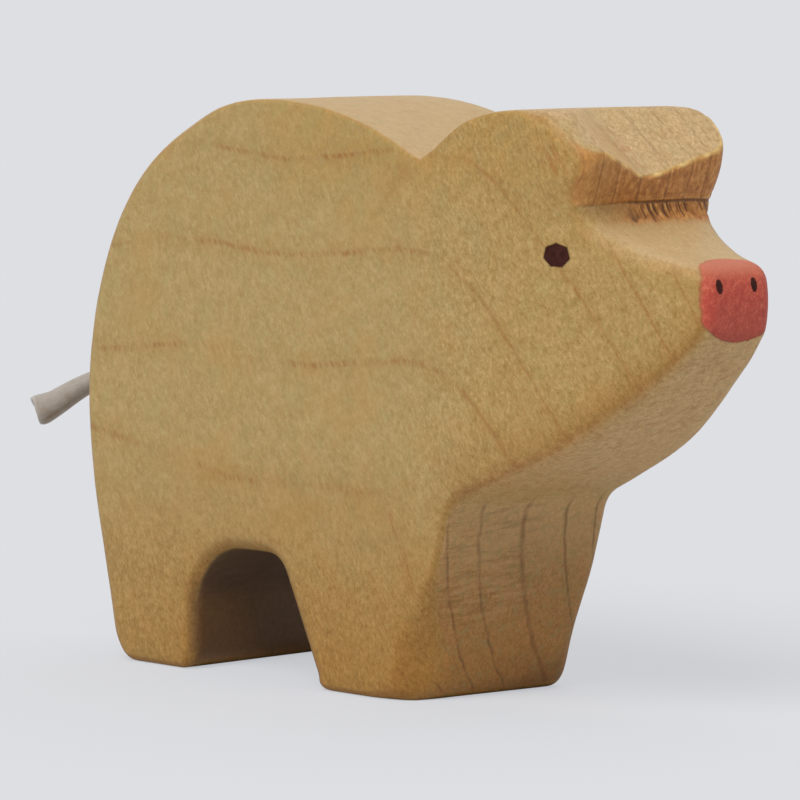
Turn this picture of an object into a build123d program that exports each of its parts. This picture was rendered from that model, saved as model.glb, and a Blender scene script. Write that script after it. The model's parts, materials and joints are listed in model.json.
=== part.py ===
from build123d import *
import math
import os

# A carved wooden pig with a soft tail glued in its rump, a painted snout and painted eyes.
# While it is drawn, X runs forward from the rump, Y to the pig's left and Z up from the ground.
# At the end every piece is moved so that the origin is under the middle of the whole figure.

# Board and height of the back, in millimetres
BACK_HEIGHT = 76.2
BOARD_THICKNESS = 27.0
EDGE_RADIUS = 2.4
SIDE_FACING_SHARE = 0.5
CUT_OVERRUN = 5.0

# Trunk, from the heel up over the rump and along the back to the neck, just behind the toe
HEEL_SETBACK = 5.9
NECK_SETBACK = 1.4
NECK_DROP = 7.2
NECK_RADIUS = 4.0
TRUNK_SHARES = [
    (0.046, 0.180),
    (0.004, 0.380),
    (0.000, 0.500),
    (0.063, 0.728),
    (0.163, 0.860),
    (0.267, 0.929),
    (0.443, 0.989),
    (0.618, 1.000),
    (0.799, 0.976),
]

# Head, from the neck over the crown and the ears to the snout and back along the jaw
CROWN_RISE = 6.8
CROWN_SHARES = [(0.12, 0.40), (0.26, 0.76), (0.42, 0.94), (0.64, 1.00)]
EAR_OVERHANG = 4.4
EAR_DROP = 0.5
EAR_RADIUS = 4.8
BROW_REACH = 26.2
BROW_DROP = 13.2
BROW_RADIUS = 2.4
MUZZLE_LENGTH = 16.4
MUZZLE_DROP = 5.5
SNOUT_HEIGHT = 9.0
SNOUT_BULGE = 1.0
SNOUT_TOP_RADIUS = 3.0
SNOUT_LOW_RADIUS = 3.6
BRIDGE_SHARE = 0.46
BRIDGE_SAG = 1.0
JAW_SHARES = [(0.14, 0.21), (0.38, 0.50), (0.68, 0.77)]
THROAT_OVERHANG = 7.0
JAW_DROP = 22.5
THROAT_RADIUS = 5.0

# Head seen from above: the cheeks taper from the board's full thickness to the snout
SNOUT_WIDTH = 11.0
CHEEK_LENGTH = 20.8
CHEEK_RADIUS = 26.0

# Valley gouged between the ears
GOUGE_SLOPE = 38.0
GOUGE_DEPTH = 10.8
GOUGE_OFFSET = 1.2
GOUGE_RIGHT_ANGLE = 26.0
GOUGE_LEFT_ANGLE = 17.0
GOUGE_RADIUS = 4.0
GOUGE_SPAN = 30.0

# Legs: each pair is one full width slab, and the arch between them is cut right through
HIND_FOOT_LENGTH = 16.2
FRONT_FOOT_LENGTH = 20.7
HEEL_RADIUS = 5.0
TOE_RADIUS = 3.4
INNER_SOLE_RADIUS = 2.8
ARCH_SOLE_LENGTH = 24.7
ARCH_TOP_LENGTH = 16.7
ARCH_HEIGHT = 16.8
ARCH_REAR_RADIUS = 9.0
ARCH_FRONT_RADIUS = 4.5

# Tail: a soft lace glued in a blind hole, bent down and to the pig's right
TAIL_HEIGHT = 37.6
TAIL_ROOT_DIAMETER = 2.7
TAIL_TIP_DIAMETER = 3.8
TAIL_ROOT_DEPTH = 10.0
TAIL_STUB_LENGTH = 2.0
TAIL_BEND_RADIUS = 13.8
TAIL_BEND_ANGLE = 65.0
TAIL_BEND_TILT = 34.0
TAIL_END_LENGTH = 2.2
TAIL_BEND_SHARES = [0.0, 0.35, 0.7, 1.0]
TAIL_FLARE_SHARES = [0.0, 0.06, 0.30, 0.68]
TAIL_CUP_CLEARANCE = 0.12
GLUE_THICKNESS = 0.2
GLUE_PLUG_LENGTH = 0.8
GLUE_RECESS = 1.2

# Paint: films that lie flush with the wood they soak into
PAINT_DEPTH = 0.35
PAINT_SINK = 0.12
NOSTRIL_PAINT_DEPTH = 0.15
SNOUT_PAINT_REACH = 4.0
SNOUT_PAINT_WIDTH = 11.6
SNOUT_PAINT_TALL = 9.3
EYE_SETBACK = 19.1
EYE_RISE = 1.0
EYE_LENGTH = 3.7
EYE_TALL = 3.1
NOSTRIL_SPACING = 6.2
NOSTRIL_OFFSET = 0.7
NOSTRIL_DROP = 2.2
NOSTRIL_WIDTH = 1.0
NOSTRIL_TALL = 1.7

HALF_THICKNESS = BOARD_THICKNESS / 2
TAIL_ROOT_RADIUS = TAIL_ROOT_DIAMETER / 2
TAIL_TIP_RADIUS = TAIL_TIP_DIAMETER / 2
TAIL_HOLE_RADIUS = TAIL_ROOT_RADIUS + GLUE_THICKNESS
TAIL_HOLE_DEPTH = TAIL_ROOT_DEPTH + GLUE_PLUG_LENGTH
TAIL_HINGE = Vector(-TAIL_STUB_LENGTH, 0, TAIL_HEIGHT)
HIND_INNER_X = HEEL_SETBACK + HIND_FOOT_LENGTH
FRONT_INNER_X = HIND_INNER_X + ARCH_SOLE_LENGTH
TOE_X = FRONT_INNER_X + FRONT_FOOT_LENGTH
THROAT_X = TOE_X + THROAT_OVERHANG
NECK_X = TOE_X - NECK_SETBACK
BROW_X = NECK_X + BROW_REACH
EAR_X = BROW_X + EAR_OVERHANG
BODY_LENGTH = BROW_X + MUZZLE_LENGTH
SNOUT_X = BODY_LENGTH - SNOUT_BULGE
NECK_HEIGHT = BACK_HEIGHT - NECK_DROP
CROWN_HEIGHT = NECK_HEIGHT + CROWN_RISE
BROW_HEIGHT = CROWN_HEIGHT - BROW_DROP
SNOUT_TOP_HEIGHT = BROW_HEIGHT - MUZZLE_DROP
SNOUT_LOW_HEIGHT = SNOUT_TOP_HEIGHT - SNOUT_HEIGHT
THROAT_HEIGHT = SNOUT_LOW_HEIGHT - JAW_DROP


def between(start, end, shares):
    """Points at hand-chosen shares of the way from start to end, along X and up Z."""
    run = end[0] - start[0]
    rise = end[1] - start[1]
    return [(start[0] + run * x_share, start[1] + rise * z_share) for x_share, z_share in shares]


def side_outline():
    """The pig's outline seen from its right side, with sharp corners."""
    heel = (HEEL_SETBACK, 0)
    neck = (NECK_X, NECK_HEIGHT)
    ear = (EAR_X, CROWN_HEIGHT - EAR_DROP)
    brow = (BROW_X, BROW_HEIGHT)
    snout_top = (SNOUT_X, SNOUT_TOP_HEIGHT)
    snout_front = (BODY_LENGTH, SNOUT_TOP_HEIGHT - SNOUT_HEIGHT / 2)
    snout_low = (SNOUT_X, SNOUT_LOW_HEIGHT)
    throat = (THROAT_X, THROAT_HEIGHT)
    toe = (TOE_X, 0)
    trunk = between((0, 0), (NECK_X, BACK_HEIGHT), TRUNK_SHARES)
    crown = between(neck, (EAR_X, CROWN_HEIGHT), CROWN_SHARES)
    jaw = between(snout_low, throat, JAW_SHARES)
    bridge_x = BROW_X + (SNOUT_X - BROW_X) * BRIDGE_SHARE
    bridge_z = BROW_HEIGHT + (SNOUT_TOP_HEIGHT - BROW_HEIGHT) * BRIDGE_SHARE - BRIDGE_SAG
    edges = [
        Spline(heel, *trunk, neck),
        Spline(neck, *crown, ear),
        Line(ear, brow),
        ThreePointArc(brow, (bridge_x, bridge_z), snout_top),
        ThreePointArc(snout_top, snout_front, snout_low),
        Spline(snout_low, *jaw, throat),
        Line(throat, toe),
        Line(toe, heel),
    ]
    return Plane.XZ * make_face(edges)


def arch_outline():
    """The gap between the hind and front legs."""
    corners = [
        (HIND_INNER_X, 0),
        (HIND_INNER_X, ARCH_HEIGHT),
        (HIND_INNER_X + ARCH_TOP_LENGTH, ARCH_HEIGHT),
        (FRONT_INNER_X, 0),
    ]
    return Plane.XZ * make_face(Polyline(*corners, close=True))


def across(face):
    """A face on the middle plane, extruded through the whole board."""
    return extrude(face, amount=HALF_THICKNESS, both=True)


def cross_edge(solid, x, z):
    """The edge across the board that lies nearest to a corner of the outline."""
    corner = Vector(x, 0, z)
    return min(solid.edges().filter_by(Axis.Y), key=lambda edge: (edge.center() - corner).length)


def rounded_slab():
    """The outline cut from the board, with the corners of the outline rounded."""
    slab = across(side_outline()) - across(arch_outline())
    rounds = [
        (HEEL_SETBACK, 0, HEEL_RADIUS),
        (TOE_X, 0, TOE_RADIUS),
        (HIND_INNER_X, 0, INNER_SOLE_RADIUS),
        (FRONT_INNER_X, 0, INNER_SOLE_RADIUS),
        (HIND_INNER_X, ARCH_HEIGHT, ARCH_REAR_RADIUS),
        (HIND_INNER_X + ARCH_TOP_LENGTH, ARCH_HEIGHT, ARCH_FRONT_RADIUS),
        (NECK_X, NECK_HEIGHT, NECK_RADIUS),
        (EAR_X, CROWN_HEIGHT - EAR_DROP, EAR_RADIUS),
        (BROW_X, BROW_HEIGHT, BROW_RADIUS),
        (SNOUT_X, SNOUT_TOP_HEIGHT, SNOUT_TOP_RADIUS),
        (SNOUT_X, SNOUT_LOW_HEIGHT, SNOUT_LOW_RADIUS),
        (THROAT_X, THROAT_HEIGHT, THROAT_RADIUS),
    ]
    for x, z, radius in rounds:
        slab = fillet([cross_edge(slab, x, z)], radius)
    return slab


def plan_block():
    """The figure seen from above: full thickness at the trunk, tapered along the cheeks."""
    cheek_x = BODY_LENGTH - CHEEK_LENGTH
    half_snout = SNOUT_WIDTH / 2
    slope = (HALF_THICKNESS - half_snout) / CHEEK_LENGTH
    front_x = BODY_LENGTH + CUT_OVERRUN
    front_y = half_snout - slope * CUT_OVERRUN
    rear_x = -CUT_OVERRUN
    corners = [
        (rear_x, -HALF_THICKNESS),
        (cheek_x, -HALF_THICKNESS),
        (front_x, -front_y),
        (front_x, front_y),
        (cheek_x, HALF_THICKNESS),
        (rear_x, HALF_THICKNESS),
    ]
    plan = make_face(Polyline(*corners, close=True))
    cheeks = plan.vertices().sort_by(Axis.X)[2:4]
    plan = fillet(cheeks, CHEEK_RADIUS)
    top_z = max(BACK_HEIGHT, CROWN_HEIGHT)
    return Pos(0, 0, -CUT_OVERRUN) * extrude(plan, amount=top_z + 2 * CUT_OVERRUN)


def soften(solid):
    """Rounds every edge between the sides of the figure and its outline."""
    sides = [face for face in solid.faces() if abs(face.normal_at().Y) > SIDE_FACING_SHARE]
    edges = [edge for side in sides for edge in side.edges()]
    rim = [edge for edge in edges if sum(edge.is_same(other) for other in edges) == 1]
    return fillet(rim, EDGE_RADIUS)


def ear_gouge():
    """A rounded valley that slopes down to the front between the ears."""
    left_y = GOUGE_SPAN * math.cos(math.radians(GOUGE_LEFT_ANGLE))
    left_z = GOUGE_SPAN * math.sin(math.radians(GOUGE_LEFT_ANGLE))
    right_y = GOUGE_SPAN * math.cos(math.radians(GOUGE_RIGHT_ANGLE))
    right_z = GOUGE_SPAN * math.sin(math.radians(GOUGE_RIGHT_ANGLE))
    section = make_face(Polyline((0, 0), (left_y, left_z), (-right_y, right_z), close=True))
    bottom = min(section.vertices(), key=lambda corner: corner.Y)
    section = fillet([bottom], GOUGE_RADIUS)
    slope = math.radians(GOUGE_SLOPE)
    front = Plane(
        origin=(EAR_X, -GOUGE_OFFSET, CROWN_HEIGHT - GOUGE_DEPTH),
        x_dir=(0, 1, 0),
        z_dir=(math.cos(slope), 0, -math.sin(slope)),
    )
    return extrude(front * section, amount=GOUGE_SPAN, both=True)


def carved_block():
    """The whole wooden figure before it is drilled and painted."""
    return soften(rounded_slab() & plan_block()) - ear_gouge()


def tail_rod(radius, start_x, end_x):
    """A round rod on the axis of the tail's hole."""
    start = Plane(origin=(start_x, 0, TAIL_HEIGHT), x_dir=(0, 1, 0), z_dir=(1, 0, 0))
    return extrude(start * Circle(radius), amount=end_x - start_x)


def tail_ball(radius):
    """A ball on the point where the tail bends."""
    return Pos(TAIL_HINGE) * Rot(0, 90, 0) * Sphere(radius)


def tail_root():
    """The glued stretch of the lace, with a cup where the free stretch bends."""
    rod = tail_rod(TAIL_ROOT_RADIUS, TAIL_HINGE.X, TAIL_ROOT_DEPTH)
    return rod - tail_ball(TAIL_ROOT_RADIUS + TAIL_CUP_CLEARANCE)


def tail_glue():
    """Glue around the root and at the bottom of the hole."""
    plug = tail_rod(TAIL_HOLE_RADIUS, GLUE_RECESS, TAIL_HOLE_DEPTH)
    return plug - tail_rod(TAIL_ROOT_RADIUS, GLUE_RECESS, TAIL_ROOT_DEPTH)


def tail_section(turn, run, flare_share):
    """One round section of the free tail, after a turn of the bend and a straight run."""
    tilt = math.radians(TAIL_BEND_TILT)
    back = Vector(-1, 0, 0)
    aside = Vector(0, -math.cos(tilt), -math.sin(tilt))
    ahead = back * math.cos(turn) + aside * math.sin(turn)
    centre = TAIL_HINGE + back * (TAIL_BEND_RADIUS * math.sin(turn))
    centre = centre + aside * (TAIL_BEND_RADIUS * (1 - math.cos(turn))) + ahead * run
    radius = TAIL_ROOT_RADIUS + (TAIL_TIP_RADIUS - TAIL_ROOT_RADIUS) * flare_share
    return Plane(origin=centre, x_dir=back.cross(aside), z_dir=ahead) * Circle(radius)


def free_tail():
    """The free stretch of the lace: a round start, a bend and a flared, cut end."""
    bend = math.radians(TAIL_BEND_ANGLE)
    sections = [
        tail_section(bend * bend_share, 0, flare_share)
        for bend_share, flare_share in zip(TAIL_BEND_SHARES, TAIL_FLARE_SHARES)
    ]
    sections.append(tail_section(bend, TAIL_END_LENGTH, 1))
    front_half = tail_rod(TAIL_ROOT_RADIUS, TAIL_HINGE.X, TAIL_HINGE.X + TAIL_ROOT_DIAMETER)
    return loft(sections) + (tail_ball(TAIL_ROOT_RADIUS) & front_half)


def snout_film(block):
    """Paint on the front of the snout and over its top edge."""
    low_z = SNOUT_TOP_HEIGHT - SNOUT_PAINT_TALL
    low = (BODY_LENGTH - SNOUT_PAINT_REACH, -SNOUT_PAINT_WIDTH / 2, low_z)
    length = SNOUT_PAINT_REACH + CUT_OVERRUN
    tall = BROW_HEIGHT - low_z
    front = Pos(low) * Box(length, SNOUT_PAINT_WIDTH, tall, align=Align.MIN)
    return (block & front) - Pos(-PAINT_DEPTH, 0, -PAINT_SINK) * block


def nostril_film(block, side):
    """A tall oval dot on the snout, on one side of the middle."""
    aside = side * NOSTRIL_SPACING / 2 - NOSTRIL_OFFSET
    centre = (BODY_LENGTH, aside, SNOUT_TOP_HEIGHT - NOSTRIL_DROP)
    face = Plane(origin=centre, x_dir=(0, 1, 0), z_dir=(1, 0, 0))
    dot = extrude(face * Ellipse(NOSTRIL_WIDTH / 2, NOSTRIL_TALL / 2), amount=CUT_OVERRUN, both=True)
    return (dot & block) - Pos(-NOSTRIL_PAINT_DEPTH, 0, 0) * block


def eye_film(block, side):
    """An oval dot on one cheek."""
    centre = (BODY_LENGTH - EYE_SETBACK, side * HALF_THICKNESS, SNOUT_TOP_HEIGHT + EYE_RISE)
    face = Plane(origin=centre, x_dir=(1, 0, 0), z_dir=(0, side, 0))
    dot = extrude(face * Ellipse(EYE_LENGTH / 2, EYE_TALL / 2), amount=CUT_OVERRUN, both=True)
    return (dot & block) - Pos(0, -side * PAINT_DEPTH, 0) * block


def pig_pieces():
    """Every piece of the figure by name, where it is drawn."""
    block = carved_block()
    snout = snout_film(block)
    left_nostril = nostril_film(block, 1)
    right_nostril = nostril_film(block, -1)
    left_eye = eye_film(block, 1)
    right_eye = eye_film(block, -1)
    hole = tail_rod(TAIL_HOLE_RADIUS, -CUT_OVERRUN, TAIL_HOLE_DEPTH)
    return {
        "body": block - hole - snout - left_eye - right_eye,
        "snout_paint": snout - left_nostril - right_nostril,
        "left_nostril_paint": left_nostril,
        "right_nostril_paint": right_nostril,
        "left_eye_paint": left_eye,
        "right_eye_paint": right_eye,
        "tail_glue": tail_glue(),
        "tail_root": tail_root(),
        "tail": free_tail(),
    }


def main():
    pieces = pig_pieces()
    boxes = [piece.bounding_box() for piece in pieces.values()]
    rear_x = min(box.min.X for box in boxes)
    front_x = max(box.max.X for box in boxes)
    middle_x = (rear_x + front_x) / 2
    os.makedirs("parts", exist_ok=True)
    for name, piece in pieces.items():
        export_step(Pos(-middle_x, 0, 0) * piece, f"parts/{name}.step")
    print("The origin is in front of the rump by", round(middle_x, 3))
    print("The tail bends at x", round(TAIL_HINGE.X - middle_x, 3), "z", TAIL_HINGE.Z)


main()
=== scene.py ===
import json
import math
from contextlib import contextmanager
from types import SimpleNamespace

import bpy
import numpy as np
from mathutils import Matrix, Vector, noise


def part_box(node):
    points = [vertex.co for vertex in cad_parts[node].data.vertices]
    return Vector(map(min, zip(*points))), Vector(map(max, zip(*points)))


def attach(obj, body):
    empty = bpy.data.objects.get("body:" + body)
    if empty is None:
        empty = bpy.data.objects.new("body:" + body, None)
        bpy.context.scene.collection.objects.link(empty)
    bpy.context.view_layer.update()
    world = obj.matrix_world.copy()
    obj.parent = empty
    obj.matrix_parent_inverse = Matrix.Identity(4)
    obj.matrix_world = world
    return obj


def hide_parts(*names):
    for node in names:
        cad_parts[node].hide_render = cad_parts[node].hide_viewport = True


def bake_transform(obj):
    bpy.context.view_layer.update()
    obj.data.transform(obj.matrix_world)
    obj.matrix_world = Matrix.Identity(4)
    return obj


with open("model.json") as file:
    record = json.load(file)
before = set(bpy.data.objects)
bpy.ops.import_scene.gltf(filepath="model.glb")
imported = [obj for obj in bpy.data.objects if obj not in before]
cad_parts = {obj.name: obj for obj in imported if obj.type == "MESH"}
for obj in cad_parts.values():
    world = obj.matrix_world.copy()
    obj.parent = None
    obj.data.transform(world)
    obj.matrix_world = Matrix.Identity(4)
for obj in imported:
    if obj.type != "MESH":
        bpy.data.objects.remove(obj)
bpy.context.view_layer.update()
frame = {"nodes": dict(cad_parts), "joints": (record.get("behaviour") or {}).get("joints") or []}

# The carved pig is drawn in metres in the frame of its solids, and its sizes are given in millimetres
MM = 0.001
AXES = {"x": (1.0, 0.0, 0.0), "y": (0.0, 1.0, 0.0), "z": (0.0, 0.0, 1.0)}


def mm(*sizes):
    """Sizes in millimetres, as metres."""
    return tuple(size * MM for size in sizes)


def beside(landmark, *offsets):
    """Places along an axis, given in millimetres from a landmark."""
    return tuple(landmark + offset * MM for offset in offsets)


def linear(red, green, blue):
    """A colour from its usual 0 to 255 numbers."""
    shares = [channel / 255.0 for channel in (red, green, blue)]
    return tuple(s / 12.92 if s <= 0.04045 else ((s + 0.055) / 1.055) ** 2.4 for s in shares) + (1.0,)


def tint(red, green, blue):
    """A colour to darken another with, from the share that it keeps of each channel."""
    return (red, green, blue, 1.0)


# Landmarks that the frame gives
BODY_LOW, BODY_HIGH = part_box("body")
GLUE_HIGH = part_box("tail_glue")[1]
ROOT_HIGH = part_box("tail_root")[1]
HALF_THICKNESS = BODY_HIGH.y
RUMP_X = BODY_LOW.x
SNOUT_X = BODY_HIGH.x
BACK_Z = BODY_HIGH.z
TAIL_HINGE = Vector(frame["joints"][0]["pos_m"])

# Camera, fitted to the photograph
CAMERA_PLACE = Vector((469.08, -441.10, 92.85)) * MM
CAMERA_AZIMUTH = math.radians(46.6)
CAMERA_PITCH = math.radians(85.028)
CAMERA_LENS = 222.435
CAMERA_SENSOR = 36.0
CAMERA_REACH = (0.01, 200.0)

# Floor and backdrop, and what the camera sees of their own light
FLOOR_SIZE = 80.0
FLOOR_CARD = (0.66, 0.66, 0.67, 1.0)
FLOOR_GLOW = linear(219, 221, 226)
FLOOR_GLOW_SHARE = 0.7
BACKDROP = linear(222, 224, 228)
BACKDROP_LIGHT, BACKDROP_SEEN = 0.4, 0.6

# Lamps: name, direction, strength, angle and colour
LAMPS = (
    ("key", (-0.20, 0.60, -0.775), 2.35, math.radians(35.0), (1.0, 0.98, 0.94)),
    ("top", (0.0, -0.4, -0.92), 1.05, math.radians(60.0), (1.0, 1.0, 1.0)),
)

# Mesh of the body
MERGE_DISTANCE = 1e-6
MESH_STEP = 0.36 * MM
MESH_SMOOTHING = 5
MESH_TRIANGLES = 175000
SMOOTH_FACTOR = 0.5
SMOOTH_ANGLE = math.radians(50.0)
HOLE_SIDES = 64
HOLE_OVERRUN = 4.0 * MM
PLUG_SPREAD = 0.1 * MM
PLUG_OVERRUN = 0.2 * MM
TINY = 1e-9

# Head
EAR_TIP_X = SNOUT_X - 12.0 * MM
EAR_FLARE_SHARE = 0.125
EAR_TIP_DROP = 1.9 * MM
EAR_TEAR_X = SNOUT_X - 18.4 * MM
EAR_TEAR_Z = BACK_Z - 6.4 * MM
EAR_TEAR_WIDTH, EAR_TEAR_HEIGHT = mm(1.7, 2.4)
EAR_TEAR_LEAN = 0.5
BROW_X = SNOUT_X - 16.4 * MM
BROW_Z = BACK_Z - 13.6 * MM
CREASE_Z = BROW_Z + 1.6 * MM
NECK_X = SNOUT_X - 42.3 * MM
NECK_Z = BACK_Z - 6.9 * MM
NECK_HALF_WIDTH = 1.7 * MM
NECK_SHARPENING = 0.45 * MM
NECK_POWER = 1.3
NECK_CREASE_TOP = (SNOUT_X - 43.3 * MM, NECK_Z)
NECK_CREASE_LOW = (SNOUT_X - 49.7 * MM, BACK_Z - 14.2 * MM)
NECK_CREASE_WIDTH = 1.5 * MM
NECK_CREASE_DEPTH = 0.32 * MM
NECK_CREASE_START_SHARES = (0.02, 0.3)
NECK_CREASE_END_SHARES = (1.3, 0.2)

# Legs
ARCH_REAR_X = RUMP_X + 22.1 * MM
ARCH_FRONT_X = RUMP_X + 46.8 * MM
ARCH_TOP_Z = 16.8 * MM
CHEST_TURN = 3.6 * MM
CHEST_FOOT_X = SNOUT_X - 41.2 * MM
CHEST_SLOPE = 0.274
RIGHT_TOE_RADIUS = 7.0 * MM
LEFT_TOE_RADIUS = 4.0 * MM
TOE_CORE_SHARE = 0.6

# Edges of the body
SOLID_EDGE_RADIUS = 2.4 * MM
BACK_EDGE_RADIUS = 0.6 * MM
SOLE_EDGE_RADIUS = 1.3 * MM
EDGE_FACING = (0.4, 0.95)
EDGE_LEAST_LEAN = 0.08
SANDING_PASSES = 150
LEAST_SANDING = 0.01
SHARPNESS_PASSES = 6
LEAST_SQUARE = 1e-14

# Zones of the carving: each limit is the place where the zone begins and the place where it is full,
# along an axis or, as side, out from the middle of the board
SNOUT_CLEAR = beside(SNOUT_X, -3.0, -8.0)
JAW = dict(side_from=mm(4.0, 9.0), x_from=mm(30.0, 40.0), z_to=mm(56.0, 48.0), x_to=SNOUT_CLEAR)
MUZZLE_HEIGHT = dict(z_from=mm(51.0, 54.0), z_to=mm(62.0, 60.5))
MUZZLE = dict(side_from=mm(2.0, 5.0), x_from=mm(48.0, 51.0), x_to=SNOUT_CLEAR, **MUZZLE_HEIGHT)
RIGHT_EAR = dict(x_from=mm(43.0, 45.5), z_from=mm(63.5, 66.0), y_to=mm(-7.0, -10.5))
FRONT_FOOT = dict(side_from=mm(4.0, 9.0), x_from=mm(12.0, 17.0), z_to=mm(19.0, 8.0))
TOE = dict(z_to=mm(17.0, 5.0))
BACK_EDGE = dict(x_from=mm(-26.0, -14.0), x_to=mm(42.0, 37.0), z_from=mm(62.0, 65.0))
SOLE_EDGE = dict(x_from=mm(-40.0, -36.0), x_to=mm(16.0, 10.0), z_to=mm(5.0, 3.0))
CHEST_EDGE = dict(z_from=mm(13.0, 18.0), z_to=mm(31.0, 27.0), x_from=mm(18.0, 21.0), y_to=mm(-1.0, -2.0))
CHEST = dict(x_from=mm(13.0, 22.0), z_to=mm(34.0, 26.0))
NECK_NOTCH = dict(z_from=beside(NECK_Z, -3.0, -1.5))
NECK_FLANK = dict(side_from=mm(9.0, 11.0))
EAR_FLARE = dict(x_from=beside(EAR_TIP_X, -14.0, -2.5), z_from=beside(BROW_Z, -1.0, 6.0))
EAR_DROP_HEIGHT = dict(z_from=beside(BROW_Z, 4.0, 8.0))
EAR_DROP = dict(x_from=beside(EAR_TIP_X, -8.6, -4.0), y_to=mm(-7.5, -12.0), **EAR_DROP_HEIGHT)
BROW_LENGTH = dict(x_from=beside(BROW_X, -4.0, -2.0), x_to=beside(BROW_X, 6.0, 4.0))
BROW = dict(z_from=beside(CREASE_Z, -3.4, -2.0), **BROW_LENGTH)
GOUGE = dict(x_from=mm(37.0, 40.0), y_to=mm(-1.0, -4.0), z_from=mm(66.0, 69.0))
ARCH_LENGTH = dict(x_from=beside(ARCH_REAR_X, -2.0, 1.0), x_to=beside(ARCH_FRONT_X, 3.0, 0.0))
# Where shade is painted inside the arch between the legs
ARCH = dict(z_to=beside(ARCH_TOP_Z, 1.5, 0.0), **ARCH_LENGTH)
WAVY = dict(z_from=mm(0.2, 3.0))

# Ways that a surface faces, with limits of the same kind on its normals
EAR_FRONT_FACING = dict(x_from=(0.45, 0.6), y_from=(-0.88, -0.66), z_to=(0.6, 0.35))
NOTCH_FACING = dict(x_from=(0.15, 0.4), y_from=(-0.62, -0.25))
# Facing of the gouge's right wall, where light is painted
GOUGE_WALL_FACING = dict(y_from=(-0.02, 0.36))
# Facings of the arch's ceiling and walls, for the shade painted inside the arch
CEILING_FACING = dict(z_to=(0.0, -0.5))
ARCH_WALL_FACING = dict(side_to=(0.97, 0.7))
ARCH_CEILING_FACING = dict(side_to=(0.55, 0.3))
CHEST_FACING = dict(y_from=(-0.65, -0.3))

# Chisel marks under the ears
BROW_CUTS = 2
BROW_FINE_X, BROW_FINE_Z, BROW_FINE_DROP = mm(4.5, 3.0, 0.6)
CUT_DEPTH = 0.15 * MM
CUT_BAND = 2.5 * MM
CUT_BAND_LUMP = 1.6 * MM
CUT_BAND_TOP = mm(-0.3, 0.3)
CUT_BAND_FADE = 0.5 * MM
CUT_FAR_SIDE = mm(-7.0, 0.0)
CUT_DRIFT, CUT_DRIFT_LUMP = mm(0.25, 6.0)
STOP_CUT_WIDTH = 0.24 * MM
SECOND_CUT_RISE, SECOND_CUT_WIDTH = mm(0.95, 0.18)
SLIP_SLANT = 0.5
COARSE_SLIP_WIDTH, COARSE_SLIP_LENGTH = mm(0.62, 3.0)
NARROW_SLIP_WIDTH, NARROW_SLIP_LENGTH = mm(0.31, 1.6)
TORN_FAR_SIDE = mm(-9.0, 0.0)
TORN_WANDER, TORN_LUMP = mm(0.5, 1.5)
TORN_FADE_BELOW, TORN_FADE_ABOVE = mm(0.5, 0.4)
TORN_NOTCH_TOP = beside(CREASE_Z, 0.6, 0.0)
TORN_EAR_FOOT = beside(CREASE_Z, -0.4, 0.2)

# Waves of hand sanding: height, length and seed
WAVES = ((0.07 * MM, 9.0 * MM, 1.0), (0.02 * MM, 2.5 * MM, 2.0))

# Growth rings, in millimetres: they lie almost level in the flanks and bend down over the head
FIBRE = Vector((0.45, 0.0, -0.893))
FIBRE_SIDE = Vector((0.893, 0.0, 0.45))
FIBRE_STRETCH, GRAIN_STRETCH = 0.16, 0.55
FIRST_RING_Z = 26.4
RING_RATE = 0.0557
RING_CROWDING = 0.000323
RING_BEND_X = 22.0
RING_BEND_SHIFT = 5.1
RING_BEND_SHIFT_RISE = (33.0, 47.0)
RING_BEND_RATE = 0.12
RING_BEND_POWER = 1.65
RING_WAVE = 0.8
RING_WAVE_LENGTH = 41.0
RING_WAVE_CREST_X = -24.0
RING_WAVE_ZONE = dict(x_to=(30.0, 20.0), z_from=(30.0, 40.0))
RING_TILT = 0.17
RING_TILT_X = -15.0
RING_TILT_ZONE = dict(z_to=(40.0, 32.0))
RING_LINE_CORE_SHARE = 0.15
BOARD_RING = 5.75
BOARD_RING_LEAN = 0.02
BOARD_RING_LEAN_Z = 27.0
BOARD_RING_LEAN_POWER = 1.9
BOARD_RING_SHIFT = 2.3
BOARD_RING_UNEVENNESS = 0.2
BOARD_RING_CROWN_RATE = 0.6
BOARD_RING_CROWN = dict(z_from=(58.0, 60.0))
LEG_STREAK_X = 13.8
LEG_STREAK_LEAN = 0.48
LEG_STREAK_RATE = 0.85
LEG_STREAK_END_RATE = 1.5
FLANK_LINE, FLANK_HALO, BOARD_LINE = 0.046, 0.20, 0.075

# Zones of the wood's colours, with limits of the same kind, in millimetres
CREASE_HEIGHT = CREASE_Z / MM
WORN_FRONT = dict(x_from=(8.0, 30.0))
WORN_FEET = dict(z_to=(26.0, 14.0))
JAW_SIDE = dict(x_from=(20.0, 30.0))
JAW_EDGE_HEIGHT = (38.0, 28.0)
JAW_CURVE, JAW_CURVE_X = 0.0133, 24.0
LEGS = dict(z_to=(38.0, 0.0))
RUMP = dict(x_to=(-15.0, -40.0))
CHEEK = dict(x_from=(12.0, 38.0), z_from=(28.0, 38.0))
NAPE = dict(z_from=(60.0, 70.0), x_from=(-12.0, 2.0))
HEAD_LINES = dict(x_from=(20.0, 28.0))
HEAD_UNFADED = dict(x_from=(24.0, 34.0))
CLEAN_FOOT = dict(x_from=(-3.0, 0.0), z_to=(18.0, 11.0))
CLEAN_CROWN = dict(z_from=(58.0, 63.0))
CLEAN_CROWN_RINGS = (3.4, 3.6)
THROAT = dict(z_from=(22.0, 30.0))
JAW_UNDERSIDE = dict(z_from=(24.0, 30.0))
# FOLD: where light is painted in the fold that the jaw shades above the chest
FOLD = dict(z_from=(14.0, 23.0), z_to=(33.0, 28.0))
SAWN = dict(z_to=(30.0, 26.0), z_from=(6.0, 15.0), y_to=(7.0, -2.0))
CHEST_HEIGHT = dict(z_to=(35.0, 29.0))
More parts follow.
